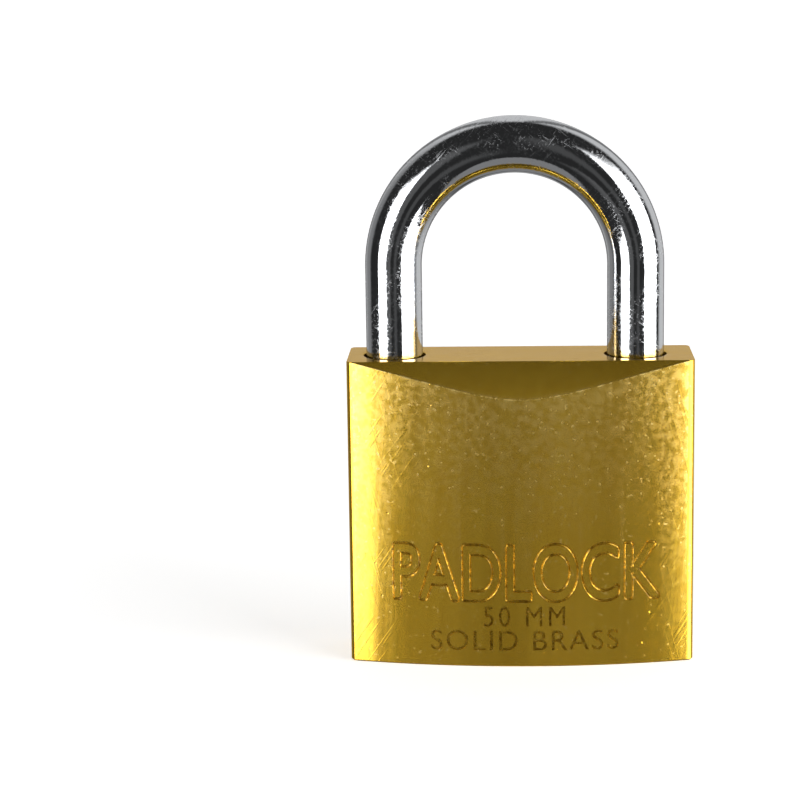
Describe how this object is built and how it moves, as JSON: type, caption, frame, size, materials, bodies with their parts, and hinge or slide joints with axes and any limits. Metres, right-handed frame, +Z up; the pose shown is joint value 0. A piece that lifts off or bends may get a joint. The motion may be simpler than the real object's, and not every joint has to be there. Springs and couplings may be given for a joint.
{
  "type": "padlock",
  "caption": "Solid brass pin-tumbler padlock with bulged faces and a chromed round-bar shackle that a key in the base releases.",
  "frame": {"origin": "middle of the flat base, under the middle of the shackle", "axes": "+X from the heel leg of the shackle to the toe leg, -Y out of the front face, +Z up"},
  "size_m": [0.05, 0.0188, 0.0792],
  "materials": {
    "satin_brass": "linished satin",
    "turned_brass": "turned",
    "chrome_plate": "polished plate",
    "pin_steel": "ground",
    "spring_steel": "drawn"
  },
  "bodies": {
    "body": {"lock_body": "satin_brass", "shackle_stop_pin": "pin_steel", "latch_bore_plug": "turned_brass", "cylinder_retaining_pin": "pin_steel", "shackle_spring": "spring_steel", "heel_latch_spring": "spring_steel", "toe_latch_spring": "spring_steel", "driver_spring_1": "spring_steel", "driver_spring_2": "spring_steel", "driver_spring_3": "spring_steel", "driver_spring_4": "spring_steel", "driver_spring_5": "spring_steel", "chamber_plug_1": "turned_brass", "chamber_plug_2": "turned_brass", "chamber_plug_3": "turned_brass", "chamber_plug_4": "turned_brass", "chamber_plug_5": "turned_brass"},
    "shackle": {"shackle": "chrome_plate"},
    "key_cylinder": {"key_cylinder": "turned_brass", "cylinder_cam": "pin_steel"},
    "toe_latch": {"toe_latch": "pin_steel"},
    "heel_latch": {"heel_latch": "pin_steel"},
    "key_pin_1": {"key_pin_1": "turned_brass"},
    "driver_pin_1": {"driver_pin_1": "pin_steel"},
    "key_pin_2": {"key_pin_2": "turned_brass"},
    "driver_pin_2": {"driver_pin_2": "pin_steel"},
    "key_pin_3": {"key_pin_3": "turned_brass"},
    "driver_pin_3": {"driver_pin_3": "pin_steel"},
    "key_pin_4": {"key_pin_4": "turned_brass"},
    "driver_pin_4": {"driver_pin_4": "pin_steel"},
    "key_pin_5": {"key_pin_5": "turned_brass"},
    "driver_pin_5": {"driver_pin_5": "pin_steel"}
  },
  "joints": [
    {"name": "shackle_lift", "type": "slide", "parent": "body", "child": "shackle", "axis": [0, 0, 1], "range_m": [0, 0.0132], "deforming": ["shackle_spring"]},
    {"name": "cylinder_turn", "type": "hinge", "parent": "body", "child": "key_cylinder", "pos_m": [-0.00075, 0, 0], "axis": [0, 0, 1], "range_deg": [-90, 0], "deforming": ["toe_latch_spring", "heel_latch_spring"]},
    {"name": "toe_latch_slide", "type": "slide", "parent": "body", "child": "toe_latch", "axis": [1, 0, 0], "range_m": [0, 0.00181]},
    {"name": "heel_latch_slide", "type": "slide", "parent": "body", "child": "heel_latch", "axis": [-1, 0, 0], "range_m": [0, 0.00181]},
    {"name": "key_pin_1_slide", "type": "slide", "parent": "key_cylinder", "child": "key_pin_1", "axis": [0, -1, 0], "range_m": [0, 0.0018]},
    {"name": "key_pin_2_slide", "type": "slide", "parent": "key_cylinder", "child": "key_pin_2", "axis": [0, -1, 0], "range_m": [0, 0.001]},
    {"name": "key_pin_3_slide", "type": "slide", "parent": "key_cylinder", "child": "key_pin_3", "axis": [0, -1, 0], "range_m": [0, 0.0024]},
    {"name": "key_pin_4_slide", "type": "slide", "parent": "key_cylinder", "child": "key_pin_4", "axis": [0, -1, 0], "range_m": [0, 0.0006]},
    {"name": "key_pin_5_slide", "type": "slide", "parent": "key_cylinder", "child": "key_pin_5", "axis": [0, -1, 0], "range_m": [0, 0.0014]},
    {"name": "driver_pin_1_slide", "type": "slide", "parent": "body", "child": "driver_pin_1", "axis": [1, 0, 0], "range_m": [0, 0.002], "stiffness_N_per_m": 150, "springref_m": -0.003, "deforming": ["driver_spring_1"]},
    {"name": "driver_pin_2_slide", "type": "slide", "parent": "body", "child": "driver_pin_2", "axis": [1, 0, 0], "range_m": [0, 0.002], "stiffness_N_per_m": 150, "springref_m": -0.003, "deforming": ["driver_spring_2"]},
    {"name": "driver_pin_3_slide", "type": "slide", "parent": "body", "child": "driver_pin_3", "axis": [1, 0, 0], "range_m": [0, 0.002], "stiffness_N_per_m": 150, "springref_m": -0.003, "deforming": ["driver_spring_3"]},
    {"name": "driver_pin_4_slide", "type": "slide", "parent": "body", "child": "driver_pin_4", "axis": [1, 0, 0], "range_m": [0, 0.002], "stiffness_N_per_m": 150, "springref_m": -0.003, "deforming": ["driver_spring_4"]},
    {"name": "driver_pin_5_slide", "type": "slide", "parent": "body", "child": "driver_pin_5", "axis": [1, 0, 0], "range_m": [0, 0.002], "stiffness_N_per_m": 150, "springref_m": -0.003, "deforming": ["driver_spring_5"]}
  ],
  "couplings": [
    {"joint": "toe_latch_slide", "follows": "cylinder_turn", "m_per_rad": -0.0011459},
    {"joint": "heel_latch_slide", "follows": "cylinder_turn", "m_per_rad": -0.0011459}
  ]
}
